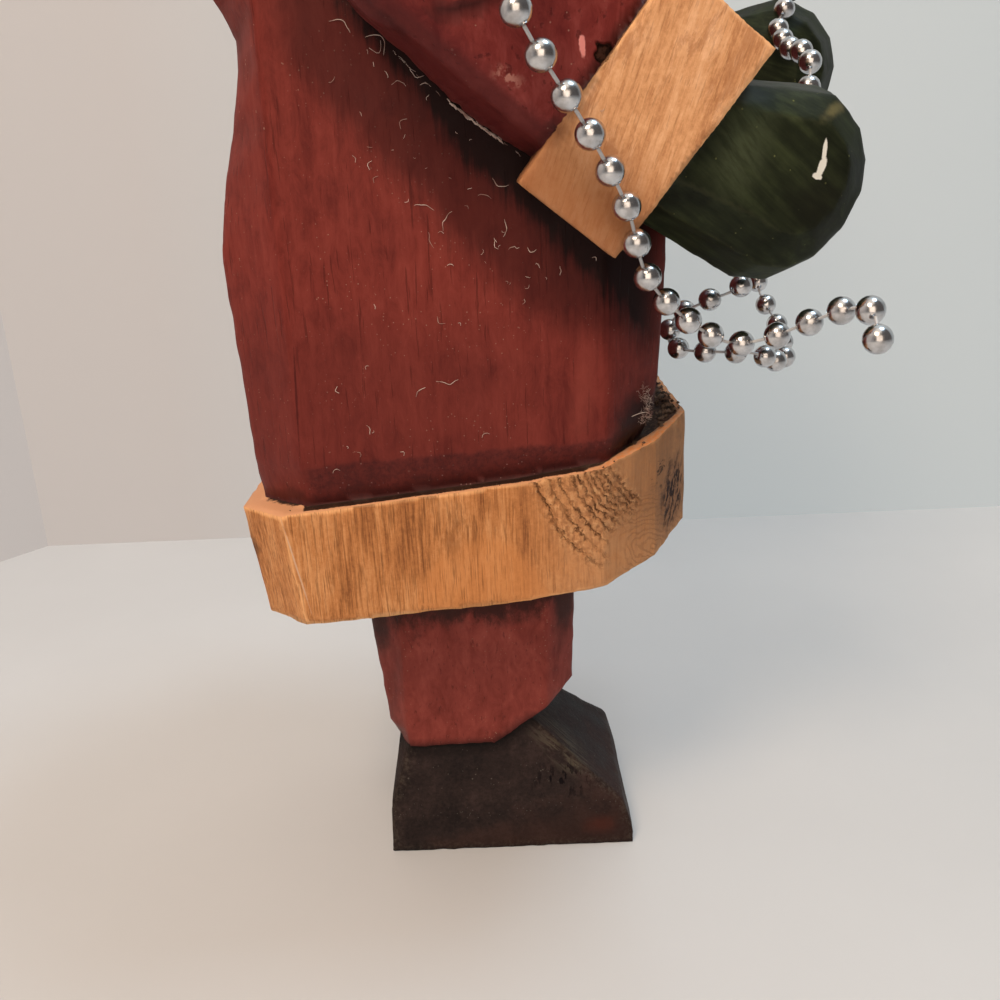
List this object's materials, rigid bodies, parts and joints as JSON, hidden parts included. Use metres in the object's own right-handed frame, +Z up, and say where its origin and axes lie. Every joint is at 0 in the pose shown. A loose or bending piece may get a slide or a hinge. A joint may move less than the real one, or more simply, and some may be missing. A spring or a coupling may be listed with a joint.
{
  "type": "carved santa figure",
  "caption": "Hand-carved and painted wooden santa with a bare wood hem and cuffs, dark mittens and a string of silvered beads hung over the arms.",
  "frame": {"origin": "centre of the boots' underside, where the figure stands", "axes": "+Z up, the figure faces -Y and its right side is -X"},
  "size_m": [0.1547, 0.1447, 0.333],
  "materials": {
    "painted_wood": "thin worn paint over whittled wood: red coat, cap, sleeves and trousers, black boots, green mittens, bare hem, cuffs, collar, face and beard",
    "silvered_bead": "bright silvered beads on a thin thread"
  },
  "bodies": {
    "root": {"carved_body": "painted_wood", "right_arm": "painted_wood", "left_arm": "painted_wood", "bead_string": "silvered_bead"}
  },
  "joints": []
}
